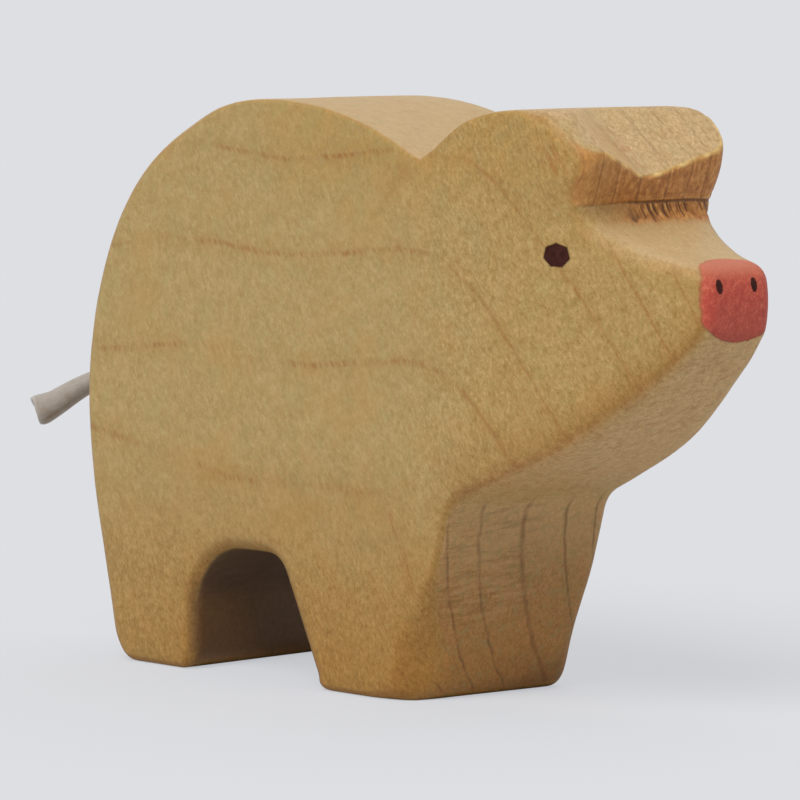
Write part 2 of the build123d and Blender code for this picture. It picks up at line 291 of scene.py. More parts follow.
# Where shade is painted at the foot of the chest
TOE_SHADE_ZONE = dict(z_to=(7.0, 1.0), y_from=(-6.0, 8.0))
CROWN_LINES = dict(z_from=(64.0, 68.0), x_from=(38.0, 42.0))
CROWN = dict(x_from=(38.0, 42.0), z_from=(62.0, 65.0))
PORES = dict(z_from=(58.0, 62.0))
NEAR_CUT = dict(y_to=(-4.0, -10.0))
HAIRS = dict(z_to=(CREASE_HEIGHT + 5.0, CREASE_HEIGHT), y_from=(-9.0, -2.0))
EAR_FRONT = dict(z_from=(CREASE_HEIGHT - 0.4, CREASE_HEIGHT + 0.4))
# Where a highlight is painted on the right ear's edge
EAR_HIGHLIGHT_ZONE = dict(z_from=(62.0, 65.0), x_from=(44.0, 47.0), y_from=(-10.5, -8.5))
# The shade painted inside the arch grows darker towards the foot
ARCH_FOOT = dict(z_to=(12.0, 2.0))

# Colours of the wood, and tints that darken it
WOOD_SHADES = ((0.28, linear(151, 122, 62)), (0.5, linear(171, 145, 90)), (0.72, linear(191, 168, 118)))
GOLDEN_PATCH = linear(178, 140, 76)
WARM_HUE, COOL_HUE = linear(180, 142, 90), linear(162, 148, 96)
FLECK, SPECK = linear(150, 108, 58), linear(122, 94, 54)
WARM_FRECKLE, COOL_FRECKLE = linear(194, 138, 82), linear(152, 152, 102)
DARK_MOTTLE, PALE_MOTTLE = tint(0.90, 0.87, 0.79), linear(192, 166, 116)
WORN_DARK, WORN_PALE = tint(0.79, 0.69, 0.48), linear(200, 171, 118)
# The first tint here is shade painted on the rounded rims
PAINTED_RIM_SHADE, JAW_RIM = tint(0.90, 0.78, 0.58), tint(0.84, 0.69, 0.48)
LEG_BROWN = tint(0.83, 0.64, 0.38)
CREASE_SHADE = tint(0.82, 0.70, 0.5)
CHEEK_WARMTH, NAPE_GOLD = tint(0.975, 0.93, 0.84), tint(1.0, 0.91, 0.72)
# The first colour here is a painted sheen on upward faces
PAINTED_TOP_SHEEN, BACK_SPOT = linear(180, 148, 112), tint(0.88, 0.80, 0.70)
RING_HALO, RING_DARK = tint(0.92, 0.82, 0.66), linear(146, 88, 36)
CHEST_PINK = tint(0.99, 0.87, 0.84)
# The first colour here is painted bounce light under the jaw
PAINTED_UNDERSIDE_LIGHT, UNDERSIDE_MOTTLE = linear(206, 150, 96), tint(0.88, 0.76, 0.68)
DASH_DARK, DASH_PALE = tint(0.74, 0.64, 0.54), linear(212, 166, 122)
# Painted light in the fold under the jaw
PAINTED_FOLD_LIGHT = linear(206, 170, 116)
SAW_PALE, SAW_DARK = linear(190, 150, 104), linear(108, 76, 42)
RED_BLOTCH, GREEN_BLOTCH = linear(178, 124, 84), linear(146, 128, 78)
# Painted shade at the chest's foot
PAINTED_TOE_SHADE = tint(0.66, 0.58, 0.48)
BOARD_RING_DARK = linear(92, 54, 20)
# Painted light on the gouge's wall
PAINTED_WALL_LIGHT = linear(228, 184, 124)
CROWN_PALE, CROWN_DARK, CROWN_SPOT = linear(214, 172, 126), tint(0.78, 0.66, 0.50), tint(0.86, 0.72, 0.52)
PORE = linear(132, 88, 50)
TORN_SHADES = ((0.3, linear(142, 84, 34)), (0.5, linear(186, 120, 52)), (0.7, linear(220, 162, 92)))
TORN_NEAR, TORN_HAIR, TORN_EAR = linear(176, 132, 72), linear(98, 56, 24), linear(158, 92, 38)
CHISELLED = linear(74, 39, 16)
# Painted highlight on the ear's edge
PAINTED_EDGE_HIGHLIGHT = linear(230, 196, 124)
# Painted shade inside the arch
PAINTED_ARCH_SHADE = linear(62, 38, 23)

# Pink paint: where it ends, in millimetres, and its colours
PINK_REACH = 4.1
PINK_HALF_WIDTH = 6.7
PINK_OFFSET = 0.6
PINK_MIDDLE_Z = 52.0
PINK_DROP = 4.4
PINK_CORNER_POWER, PINK_DROP_POWER = 1.5, 2.5
PINK_STROKE_TURN = (math.radians(-42.0), 0.0, 0.0)
PINK_TOP_Z, PINK_LOW_Z, PINK_RIM_Z = (54.6, 57.2), (50.0, 47.6), (47.5, 51.0)
PINK_RIM, PINK_END = (0.93, 1.10), (1.18, 0.97)
PINK_SHADES = ((0.3, linear(162, 62, 48)), (0.5, linear(184, 77, 60)), (0.7, linear(204, 100, 79)))
PINK_STROKE, PINK_BLOTCH = linear(216, 128, 98), linear(160, 56, 48)
# The last colour here is painted light at the film's edge, against the shadow that the film throws there
PINK_TOP, PINK_LOW, PINK_EDGE_LIGHT = linear(174, 104, 70), linear(146, 52, 28), linear(204, 128, 88)

# Pink film and brush dots
FILM_X = SNOUT_X - 5.2 * MM
FILM_Z = BACK_Z - 30.4 * MM
FILM_HALF_WIDTH = 7.4 * MM
FILM_HEIGHT, FILM_THICKNESS = mm(0.03, 0.1)
DOT_RADIUS = 0.5
DOT_ROUNDING = dict(offset=26.0, offset_type="PERCENT", segments=5, affect="VERTICES")
DOT_INSETS = (0.04, 0.06, 0.12, 0.14)
DOT_WOBBLE, DOT_WOBBLE_LUMP = 0.10, 0.3
DOT_CLEARANCE = 20.0 * MM
DOT_THICKNESS = 0.2 * MM
DOT_SMOOTH_ANGLE = math.radians(40.0)
DOT_SHADES = ((0.32, linear(46, 18, 14)), (0.70, linear(68, 34, 28)))
EYE = dict(sides=7, spread=1.13, drop=0.0, height=0.03 * MM)
NOSTRIL = dict(sides=9, spread=1.22, drop=0.15 * MM, height=0.06 * MM)

# Tail
TAIL_STEP = 0.4 * MM
TAIL_SIDES = 48
TAIL_BEND_RADIUS = 13.8 * MM
TAIL_BEND_ANGLE = math.radians(60.0)
TAIL_BEND_TILT = math.radians(34.0)
TAIL_END_LENGTH = 3.9 * MM
TAIL_END_INSETS = mm(0.10, 0.15, 0.25, 0.35)
TAIL_ROOT_RADIUS = ROOT_HIGH.y
TAIL_ROOT_GAP = 0.05 * MM
TAIL_FREE_LENGTH = TAIL_BEND_RADIUS * TAIL_BEND_ANGLE + TAIL_END_LENGTH
TAIL_ROOT_LENGTH = ROOT_HIGH.x - TAIL_HINGE.x - TAIL_ROOT_GAP
TAIL_FREE = mm(1.5, 8.0)
TAIL_PINCH = 0.24 * MM
TAIL_FLARE = 1.75 * MM
TAIL_FLARE_START = 7.5 * MM
TAIL_FLARE_POWER = 0.8
TAIL_LIP = 0.55 * MM
TAIL_LIP_SHARES = (0.84, 0.98)
TAIL_LIFT = 0.5 * MM
TAIL_FOLD_SHARE = 0.04
TAIL_FOLD_LENGTH = 9.0 * MM
TAIL_FOLD_RATE, TAIL_FRAY_RATE = 1.3, 1.2
TAIL_ROUNDING = 1.6 * MM
TAIL_ROUNDING_SHARE = 0.2
TAIL_FRAYED, TAIL_FRAY, TAIL_SLANT = mm(3.0, 0.2, 1.0)
TAIL_SLANT_START_SHARE = 0.35
TAIL_CUT = 0.01 * MM
TAIL_DOME = 0.12 * MM
TAIL_SMOOTH_ANGLE = math.radians(60.0)
LACE_SHADES = ((0.30, linear(148, 139, 130)), (0.55, linear(157, 149, 141)), (0.78, linear(167, 161, 154)))
LACE_STAIN, LACE_ROOT, LACE_CUT = linear(140, 118, 92), linear(134, 120, 104), linear(186, 181, 176)
LACE_ROOT_LENGTH = (8.0, 3.0)
GLUE_SHADES = ((0.3, linear(150, 112, 62)), (0.7, linear(196, 164, 108)))
BUMP_DISTANCE = 0.1 * MM


def only(piece):
    """Selects one object and nothing else."""
    bpy.ops.object.select_all(action="DESELECT")
    piece.select_set(True)
    bpy.context.view_layer.objects.active = piece
    return piece


@contextmanager
def whole_mesh(piece):
    """Edit mode on a piece with all of its mesh selected."""
    only(piece)
    bpy.ops.object.mode_set(mode="EDIT")
    bpy.ops.mesh.select_all(action="SELECT")
    yield
    bpy.ops.object.mode_set(mode="OBJECT")


@contextmanager
def picked_faces(piece, chosen):
    """Edit mode on a piece with only the faces selected whose centres a test picks out."""
    only(piece)
    bpy.ops.object.mode_set(mode="EDIT")
    bpy.ops.mesh.select_all(action="DESELECT")
    bpy.ops.object.mode_set(mode="OBJECT")
    for face in piece.data.polygons:
        face.select = chosen(face.center)
    bpy.ops.object.mode_set(mode="EDIT")
    bpy.ops.mesh.select_mode(type="FACE")
    yield
    bpy.ops.object.mode_set(mode="OBJECT")


def apply_modifier(piece, kind, **settings):
    """Adds one modifier to a piece and applies it."""
    only(piece)
    modifier = piece.modifiers.new(kind.lower(), kind)
    for name, value in settings.items():
        setattr(modifier, name, value)
    bpy.ops.object.modifier_apply(modifier=modifier.name)


def apply_place(piece):
    """Puts a piece's place, turn and size into its mesh."""
    only(piece)
    bpy.ops.object.transform_apply(location=True, rotation=True, scale=True)


def named(piece, name):
    """Gives a piece and its mesh one name."""
    piece.name = name
    piece.data.name = name
    return piece


def join_pieces(first, *others):
    """Joins pieces to the first one."""
    only(first)
    for piece in others:
        piece.select_set(True)
    bpy.ops.object.join()
    return first


def points_of(piece):
    """The places of a piece's vertices, one row each."""
    flat = np.empty(len(piece.data.vertices) * 3)
    piece.data.vertices.foreach_get("co", flat)
    return flat.reshape(-1, 3)


def normals_of(piece):
    """The normals of a piece's vertices, one row each."""
    flat = np.empty(len(piece.data.vertices) * 3)
    piece.data.vertex_normals.foreach_get("vector", flat)
    return flat.reshape(-1, 3)


def move_points(piece, points):
    """Puts a piece's vertices at new places."""
    piece.data.vertices.foreach_set("co", points.ravel())
    piece.data.update()


def mark(piece, **marks):
    """Keeps values for each vertex, for the piece's material to read."""
    for name, values in marks.items():
        attribute = piece.data.attributes.new(name, "FLOAT", "POINT")
        attribute.data.foreach_set("value", values.astype(np.float32))


def ramp(value, start, end):
    """0 up to start, 1 from end on, and a smooth step between; start may be above end."""
    share = np.clip((value - start) / (end - start), 0.0, 1.0)
    return share * share * (3.0 - 2.0 * share)


def bell(value, middle, width):
    """1 at the middle, fading on both sides."""
    return np.exp(-(((value - middle) / width) ** 2))


def inside(rows, limits):
    """How far each point or normal lies in a zone, from 0 to 1."""
    x, y, z = rows.T
    along = {"x": x, "y": y, "z": z, "side": np.abs(y)}
    return math.prod(ramp(along[name.split("_")[0]], *limit) for name, limit in limits.items())


def lumps(points, size, seed):
    """Smooth noise between -1 and 1 at each point, with lumps of about one size."""
    shift = Vector((seed, 2.0 * seed, 3.0 * seed))
    return np.array([noise.noise(Vector(point) / size + shift) for point in points])


def flat_lumps(across, along, seed):
    """Smooth noise over two directions, each counted in lumps."""
    return lumps(np.stack([across, along, np.zeros_like(across)], 1), 1.0, seed)


def joined_copies(names):
    """One object with a closed copy of each named node."""
    copies = []
    for name in names:
        copy = bpy.data.objects.new("copy_" + name, frame["nodes"][name].data.copy())
        bpy.context.scene.collection.objects.link(copy)
        copy.data.materials.clear()
        with whole_mesh(copy):
            bpy.ops.mesh.remove_doubles(threshold=MERGE_DISTANCE)
        copies.append(copy)
    return join_pieces(*copies)


def tail_drill(radius, rear_x, front_x):
    """A round rod on the axis of the tail's hole."""
    bpy.ops.object.select_all(action="DESELECT")
    bpy.ops.mesh.primitive_cylinder_add(
        vertices=HOLE_SIDES,
        radius=radius,
        depth=front_x - rear_x,
        location=((rear_x + front_x) / 2, 0.0, TAIL_HINGE.z),
        rotation=(0.0, math.pi / 2, 0.0),
    )
    rod = named(bpy.context.active_object, "tail_drill")
    apply_place(rod)
    return rod


def even_block():
    """The whole figure with its hole and paint recesses filled, on one even mesh."""
    films = [name for name in frame["nodes"] if name.endswith("_paint")]
    block = joined_copies(["body"] + sorted(films))
    plug = tail_drill(GLUE_HIGH.y + PLUG_SPREAD, RUMP_X, GLUE_HIGH.x + PLUG_OVERRUN)
    named(join_pieces(block, plug), "pig_body")
    apply_modifier(block, "REMESH", mode="VOXEL", voxel_size=MESH_STEP)
    apply_modifier(block, "SMOOTH", factor=SMOOTH_FACTOR, iterations=MESH_SMOOTHING)
    return block


def sand(body, weights, passes, upright=True):
    """Rounds the body off where the weights say so, with or without moving it up and down."""
    group = body.vertex_groups.new(name="sanded")
    for index in np.flatnonzero(weights > LEAST_SANDING):
        group.add([int(index)], float(weights[index]), "REPLACE")
    settings = {"factor": SMOOTH_FACTOR, "iterations": passes, "use_z": upright}
    apply_modifier(body, "SMOOTH", vertex_group="sanded", **settings)
    body.vertex_groups.clear()


def soften_edges(body):
    """Sands the edges of the jaw, the muzzle, the right ear and the front feet rounder than the rest."""
    points = points_of(body)
    sand(body, inside(points, JAW), SANDING_PASSES)
    sand(body, inside(points, MUZZLE), SANDING_PASSES // 2)
    sand(body, inside(points, RIGHT_EAR), SANDING_PASSES // 3)
    sand(body, inside(points, FRONT_FOOT), SANDING_PASSES // 2, upright=False)


def refine_brow(body):
    """Divides the faces around the crease under the ears, for the chisel marks."""
    brow = Vector((BROW_X, 0.0, CREASE_Z - BROW_FINE_DROP))

    def near_crease(centre):
        return abs(centre.x - brow.x) < BROW_FINE_X and abs(centre.z - brow.z) < BROW_FINE_Z

    with picked_faces(body, near_crease):
        bpy.ops.mesh.subdivide(number_cuts=BROW_CUTS, smoothness=0.0)


def crisp_edges(points, normals, limits, toward, radius):
    """Brings the long edges in a zone that face one way nearer to the sharp corner that the saw left."""
    y = points[:, 1]
    inset = np.maximum(HALF_THICKNESS - np.abs(y), 0.0)
    lean = np.hypot(normals[:, 0], normals[:, 2])
    on_edge = (inset < SOLID_EDGE_RADIUS) & (lean > EDGE_LEAST_LEAN)
    lean = np.maximum(lean, EDGE_LEAST_LEAN)
    facing = (normals[:, 0] * toward[0] + normals[:, 2] * toward[1]) / lean
    fall = np.maximum(SOLID_EDGE_RADIUS**2 - (SOLID_EDGE_RADIUS - inset) ** 2, 0.0)
    depth = SOLID_EDGE_RADIUS - np.sqrt(fall)
    keep = inside(points, limits) * on_edge * ramp(facing, *EDGE_FACING) * (1.0 - radius / SOLID_EDGE_RADIUS)
    moved = points.copy()
    moved[:, 0] += normals[:, 0] / lean * depth * keep
    moved[:, 1] += np.sign(y) * inset * keep
    moved[:, 2] += normals[:, 2] / lean * depth * keep
    return moved


def round_toe(points, side, radius):
    """Rounds the corner of the front foot on one side, most at the sole."""
    x, y, z = points.T
    middle_x = CHEST_FOOT_X + CHEST_SLOPE * z - radius
    ahead = np.maximum(x - middle_x, 0.0)
    aside = np.maximum(side * y - HALF_THICKNESS + radius, 0.0)
    reach = np.maximum(np.hypot(ahead, aside), TINY)
    turn = np.arctan2(aside, ahead) - math.pi / 4
    inner = radius - SOLID_EDGE_RADIUS
    arc = math.sqrt(2.0) * inner * np.cos(turn)
    arc = arc + np.sqrt(np.maximum(SOLID_EDGE_RADIUS**2 - 2.0 * (inner * np.sin(turn)) ** 2, 0.0))
    longer = np.maximum(ahead, aside)
    flat = radius * reach / np.maximum(longer, TINY)
    on_arc = np.minimum(ahead, aside) > inner / radius * longer
    border = np.where(on_arc, arc, flat)
    core = TOE_CORE_SHARE * radius
    pressed = core + (reach - core) * (radius - core) / np.maximum(border - core, TINY)
    in_corner = (ahead > 0.0) & (aside > 0.0) & (reach > core)
    cut = inside(points, TOE) * in_corner * (1.0 - pressed / reach)
    moved = points.copy()
    moved[:, 0] -= ahead * cut
    moved[:, 1] -= side * aside * cut
    return moved


def sharpen_neck(points):
    """Cuts the notch between the back and the crown to a sharper bottom."""
    depth = np.clip(1.0 - np.abs(points[:, 0] - NECK_X) / NECK_HALF_WIDTH, 0.0, 1.0) ** NECK_POWER
    moved = points.copy()
    moved[:, 2] -= NECK_SHARPENING * depth * inside(points, NECK_NOTCH)
    return moved


def shape_ears(points):
    """Spreads the ears sideways towards their tips and rounds the right one down."""
    moved = points.copy()
    moved[:, 1] *= 1.0 + EAR_FLARE_SHARE * inside(points, EAR_FLARE)
    moved[:, 2] -= EAR_TIP_DROP * inside(points, EAR_DROP)
    return moved


def neck_crease(points):
    """1 along the crease that runs down from the neck on each flank, fading to both sides."""
    start = np.array(NECK_CREASE_TOP)
    run = np.array(NECK_CREASE_LOW) - start
    length = np.linalg.norm(run)
    offset = points[:, [0, 2]] - start
    along = offset @ run / length**2
    aside = (offset[:, 0] * run[1] - offset[:, 1] * run[0]) / length
    ends = ramp(along, *NECK_CREASE_END_SHARES) * ramp(along, *NECK_CREASE_START_SHARES)
    return bell(aside, 0.0, NECK_CREASE_WIDTH) * ends * inside(points, NECK_FLANK)


def crease_neck(points):
    """Carves the shallow crease that runs down from the neck on each flank."""
    moved = points.copy()
    moved[:, 1] -= np.sign(points[:, 1]) * NECK_CREASE_DEPTH * neck_crease(points)
    return moved


def turn_chest(points):
    """Turns the sawn chest a little, so that its right edge lies further back than its left one."""
    moved = points.copy()
    moved[:, 0] -= CHEST_TURN * inside(points, CHEST) * (0.5 - 0.5 * points[:, 1] / HALF_THICKNESS)
    return moved


def brow_face(points, normals):
    """Where the cut front of the ears and the notch under them are."""
    ears = inside(normals, EAR_FRONT_FACING)
    notch = inside(normals, NOTCH_FACING)
    return np.where(points[:, 2] > CREASE_Z, ears, notch) * inside(points, BROW)


def gouge_wall(points, normals):
    """The right wall of the gouge between the ears, where light is painted to make it paler than the rest.
    """
    return inside(points, GOUGE) * inside(normals, GOUGE_WALL_FACING)


def arch_shade_mask(points, normals):
    """Where shade is painted on the inside of the arch between the legs."""
    ceiling = inside(normals, CEILING_FACING)
    walls = inside(normals, ARCH_WALL_FACING) * (1.0 - ceiling)
    return inside(points, ARCH) * (walls + inside(normals, ARCH_CEILING_FACING) * ceiling)


def chisel_marks(points, normals):
    """How deep the stop cut and the slanted chisel slips under the ears are at each point."""
    y, z = points[:, 1], points[:, 2]
    far_side = ramp(y, *CUT_FAR_SIDE)
    drift = CUT_DRIFT * lumps(points, CUT_DRIFT_LUMP, 3.0)
    stop_cut = bell(z, CREASE_Z + drift, STOP_CUT_WIDTH) * (0.42 + 0.43 * far_side)
    second_cut = 0.3 * bell(z, CREASE_Z + SECOND_CUT_RISE + 1.5 * drift, SECOND_CUT_WIDTH)
    below = CREASE_Z - z
    reach = CUT_BAND * (0.85 + 0.6 * flat_lumps(y / CUT_BAND_LUMP, 0.0 * y, 4.0))
    band = ramp(below, *CUT_BAND_TOP) * ramp(below, reach, reach - CUT_BAND_FADE)
    slant = y - SLIP_SLANT * below
    coarse = flat_lumps(slant / COARSE_SLIP_WIDTH, below / COARSE_SLIP_LENGTH, 5.0)
    narrow = flat_lumps(slant / NARROW_SLIP_WIDTH, below / NARROW_SLIP_LENGTH, 6.0)
    slips = np.clip(coarse * 2.2 + 0.05, 0.0, 0.8) + 0.7 * np.clip(narrow * 2.4 - 0.05, 0.0, 1.0)
    cuts = np.maximum(stop_cut, band * slips * (0.12 + 0.88 * far_side))
    cuts = np.maximum(cuts, second_cut * (0.5 + 0.5 * far_side))
    return brow_face(points, normals) * np.clip(cuts, 0.0, 1.0)


def torn_wood(points, normals):
    """Where the cut across the fibres is rough and brown: the front of the ears and the notch."""
    z = points[:, 2]
    far_side = ramp(points[:, 1], *TORN_FAR_SIDE)
    low = CREASE_Z - CUT_BAND + TORN_WANDER * lumps(points, TORN_LUMP, 8.0)
    notch = ramp(z, low - TORN_FADE_BELOW, low + TORN_FADE_ABOVE) * ramp(z, *TORN_NOTCH_TOP)
    torn = np.maximum(ramp(z, *TORN_EAR_FOOT), notch * (0.2 + 0.8 * far_side))
    return brow_face(points, normals) * torn


def ear_tear(points):
    """The spot on the right ear where the fibres tore out."""
    x, y, z = points.T
    height = z - EAR_TEAR_Z
    slant = x - EAR_TEAR_X + EAR_TEAR_LEAN * height
    return bell(slant, 0.0, EAR_TEAR_WIDTH) * bell(height, 0.0, EAR_TEAR_HEIGHT) * (y < 0.0)


def edge_sharpness(piece):
    """How convex the surface is around each vertex: above 0 on edges, below 0 in creases."""
    points = points_of(piece)
    normals = normals_of(piece)
    pairs = np.empty(len(piece.data.edges) * 2, dtype=np.int32)
    piece.data.edges.foreach_get("vertices", pairs)
    first, second = pairs.reshape(-1, 2).T
    step = points[second] - points[first]
    square = np.maximum((step**2).sum(1), LEAST_SQUARE)
    total = len(points)
    count = np.maximum(np.bincount(pairs, minlength=total), 1)
    bend = np.bincount(first, -2.0 * (step * normals[first]).sum(1) / square, total)
    bend = bend + np.bincount(second, 2.0 * (step * normals[second]).sum(1) / square, total)
    bend = bend / count * MM
    for _ in range(SHARPNESS_PASSES):
        around = np.bincount(first, bend[second], total) + np.bincount(second, bend[first], total)
        bend = 0.5 * bend + 0.5 * around / count
    return bend


def carve(body):
    """Adds what a knife, a chisel and sandpaper left on the sawn figure."""
    soften_edges(body)
    refine_brow(body)
    points = points_of(body)
    normals = normals_of(body)
    points = crisp_edges(points, normals, BACK_EDGE, (0.0, 1.0), BACK_EDGE_RADIUS)
    points = crisp_edges(points, normals, SOLE_EDGE, (0.0, -1.0), SOLE_EDGE_RADIUS)
    points = crisp_edges(points, normals, CHEST_EDGE, (1.0, 0.0), SOLE_EDGE_RADIUS)
    points = round_toe(points, -1.0, RIGHT_TOE_RADIUS)
    points = round_toe(points, 1.0, LEFT_TOE_RADIUS)
    points = turn_chest(crease_neck(shape_ears(sharpen_neck(points))))
    points[:, 2] = np.maximum(points[:, 2], BODY_LOW.z)
    move_points(body, points)
    normals = normals_of(body)
    chiselled = chisel_marks(points, normals)
    waves = sum(height * lumps(points, length, seed) for height, length, seed in WAVES)
    relief = waves * inside(points, WAVY) - CUT_DEPTH * chiselled
    move_points(body, points + normals * relief[:, None])
    mark(
        body,
        chiselled=chiselled,
        torn=torn_wood(points, normals),
        tear=ear_tear(points),
        crease=neck_crease(points),
        wall=gouge_wall(points, normals),
        side=np.abs(normals[:, 1]),
        top=normals[:, 2],
        front=normals[:, 0] * inside(normals, CHEST_FACING),
        # where shade is painted inside the arch
        hollow=arch_shade_mask(points, normals),
        edge=edge_sharpness(body),
    )


def drill_tail_hole(body):
    """Cuts the hole that the tail is glued in."""
    drill = tail_drill(GLUE_HIGH.y, RUMP_X - HOLE_OVERRUN, GLUE_HIGH.x)
    apply_modifier(body, "BOOLEAN", object=drill, operation="DIFFERENCE", solver="EXACT")
    bpy.data.objects.remove(drill)


def wooden_body():
    """The carved pig itself."""
    body = even_block()
    carve(body)
    body.data.calc_loop_triangles()
    apply_modifier(body, "DECIMATE", ratio=min(1.0, MESH_TRIANGLES / len(body.data.loop_triangles)))
    drill_tail_hole(body)
    only(body)
    bpy.ops.object.shade_smooth_by_angle(angle=SMOOTH_ANGLE)
    return body


class Value:
    """A value in a material: a socket that plain sums and products can be written with."""

    def __init__(self, tree, socket=None):
        self.tree = tree
        self.socket = socket

    def node(self, kind, settings, inputs, output=0):
        """Adds a node, sets it up, feeds its sockets, and gives one of its outputs."""
        node = self.tree.nodes.new(kind)
        for name, setting in settings.items():
            if name == "stops":
                self.set_stops(node.color_ramp, setting)
            else:
                setattr(node, name, setting)
        for name, value in inputs.items():
            if isinstance(value, Value):
                self.tree.links.new(value.socket, node.inputs[name])
            else:
                node.inputs[name].default_value = value
        return Value(self.tree, node.outputs[output])

    @staticmethod
    def set_stops(color_ramp, stops):
        """Puts a ramp's colours at their places."""
        while len(color_ramp.elements) < len(stops):
            color_ramp.elements.new(1.0)
        for element, (place, colour) in zip(color_ramp.elements, stops):
            element.position = place
            element.color = colour

    def math(self, operation, *values):
        """One Math node on up to three values."""
        return self.node("ShaderNodeMath", {"operation": operation}, dict(enumerate(values)))

    def __add__(self, other):
        return self.math("ADD", self, other)

    __radd__ = __add__

    def __sub__(self, other):
        return self.math("SUBTRACT", self, other)

    def __rsub__(self, other):
        return self.math("SUBTRACT", other, self)

    def __mul__(self, other):
        return self.math("MULTIPLY", self, other)

    __rmul__ = __mul__

    def __truediv__(self, other):
        return self.math("DIVIDE", self, other)

    def __rtruediv__(self, other):
        return self.math("DIVIDE", other, self)

    def __pow__(self, other):
        return self.math("POWER", self, other)

    def __abs__(self):
        return self.math("ABSOLUTE", self)

    def most(self, other):
        return self.math("MAXIMUM", self, other)

    def fraction(self):
        return self.math("FRACT", self)

    def sine(self):
        return self.math("SINE", self)

    def cosine(self):
        return self.math("COSINE", self)

    def step(self, start, end):
        """0 before start, 1 past end, smooth between; start may be above end."""
        settings = {"interpolation_type": "SMOOTHSTEP"}
        inputs = {"Value": self, "From Min": start, "From Max": end}
        return self.node("ShaderNodeMapRange", settings, inputs)

    def dark_spots(self, spread=0.2):
        """The low patches of a noise."""
        return self.step(0.5, 0.5 - spread)

    def pale_spots(self, spread=0.2):
        """The high patches of a noise."""
        return self.step(0.5, 0.5 + spread)

    def dot(self, direction):
        """How far a point lies along a direction."""
        settings = {"operation": "DOT_PRODUCT"}
        return self.node("ShaderNodeVectorMath", settings, {0: self, 1: direction}, "Value")

    def scaled(self, x, y, z):
        """A point with each coordinate scaled by itself."""
        return self.node("ShaderNodeVectorMath", {"operation": "MULTIPLY"}, {0: self, 1: (x, y, z)})

    def noise(self, scale, detail=2.0, roughness=0.5):
        """Smooth noise between 0 and 1."""
        inputs = {"Vector": self, "Scale": scale, "Detail": detail, "Roughness": roughness}
        return self.node("ShaderNodeTexNoise", {}, inputs, "Fac")

    def shades(self, stops):
        """A colour that changes with this value."""
        return self.node("ShaderNodeValToRGB", {"stops": stops}, {"Fac": self})

    def bump(self, strength):
        """A normal that this value, as a height, tilts."""
        inputs = {"Strength": strength, "Distance": BUMP_DISTANCE, "Height": self}
        return self.node("ShaderNodeBump", {}, inputs, "Normal")

    def mix(self, share, other, blend="MIX"):
        """This colour, changed to another by a share."""
        settings = {"data_type": "RGBA", "blend_type": blend}
        return self.node("ShaderNodeMix", settings, {0: share, 6: self, 7: other}, 2)

    def darker(self, share, other):
        """This colour, darkened with a tint by a share."""
        return self.mix(share, other, "MULTIPLY")


def new_material(name):
    """An empty material: itself, its shader and a value to start from."""
    material = bpy.data.materials.new(name)
    material.use_nodes = True
    shader = material.node_tree.nodes["Principled BSDF"]
    return material, shader, Value(material.node_tree)


def feed(shader, **values):
    """Links values to a shader's sockets, or sets plain ones."""
    for name, value in values.items():
        socket = shader.inputs[name.replace("_", " ").title().replace("Ior", "IOR")]
        if isinstance(value, Value):
            shader.id_data.links.new(value.socket, socket)
        else:
            socket.default_value = value


def object_place(start):
    """The place on the piece, in millimetres."""
    return start.node("ShaderNodeTexCoord", {}, {}, "Object").scaled(1.0 / MM, 1.0 / MM, 1.0 / MM)


def along_axes(place):
    """A place's three coordinates."""
    return [place.dot(axis) for axis in AXES.values()]


def placed(place, limits):
    """How far a place lies in a zone, from 0 to 1."""
    return math.prod(place.dot(AXES[name[0]]).step(*limit) for name, limit in limits.items())


def read_mark(start, name):
    """A value that the mesh keeps for each vertex."""
    return start.node("ShaderNodeAttribute", {"attribute_name": name}, {}, "Fac")


def joined(x, y, z):
    """A point from three values."""
    return x.node("ShaderNodeCombineXYZ", {}, {0: x, 1: y, 2: z})


def growth_ring(place):
    """The number of the growth ring at a place on the flanks, with its fraction."""
    x, _, z = along_axes(place)
    height = z - FIRST_RING_Z
    rough_bend = RING_BEND_RATE * (x - RING_BEND_X).most(0.0) ** RING_BEND_POWER
    bend_x = RING_BEND_SHIFT * (height + rough_bend).step(*RING_BEND_SHIFT_RISE) + RING_BEND_X
    bend = RING_BEND_RATE * (x - bend_x).most(0.0) ** RING_BEND_POWER
    streak = LEG_STREAK_RATE * (x - LEG_STREAK_X + LEG_STREAK_LEAN * height)
    streak = streak - LEG_STREAK_END_RATE * height.most(0.0)
    wave = ((x - RING_WAVE_CREST_X) * (2.0 * math.pi / RING_WAVE_LENGTH)).cosine() * RING_WAVE
    wave = wave * placed(place, RING_WAVE_ZONE)
    tilt = RING_TILT * (RING_TILT_X - x).most(0.0) * placed(place, RING_TILT_ZONE)
    rise = (height + bend - wave - tilt).most(streak)
    wander = place.noise(0.05) * 0.10 + place.noise(0.35) * 0.05 - 0.075
    return rise * (RING_RATE + RING_CROWDING * abs(rise)) + wander


def board_ring(place):
    """The number of the growth ring across the board, as the chest, the brow and the back show it."""
    _, y, z = along_axes(place)
    lean = BOARD_RING_LEAN * (BOARD_RING_LEAN_Z - z).most(0.0) ** BOARD_RING_LEAN_POWER
    wander = place.noise(0.06) * 2.0 + place.noise(0.3) * 0.8 - BOARD_RING_SHIFT
    depth = y + HALF_THICKNESS / MM - lean + wander
    uneven = BOARD_RING_UNEVENNESS * (depth * (0.5 * math.pi / BOARD_RING)).sine()
    return (depth / BOARD_RING + uneven) * (1.0 + BOARD_RING_CROWN_RATE * placed(place, BOARD_RING_CROWN))


def ring_line(ring, width):
    """1 on the dark line between two growth rings."""
    return (0.5 - abs(ring.fraction() - 0.5)).step(width, width * RING_LINE_CORE_SHARE)


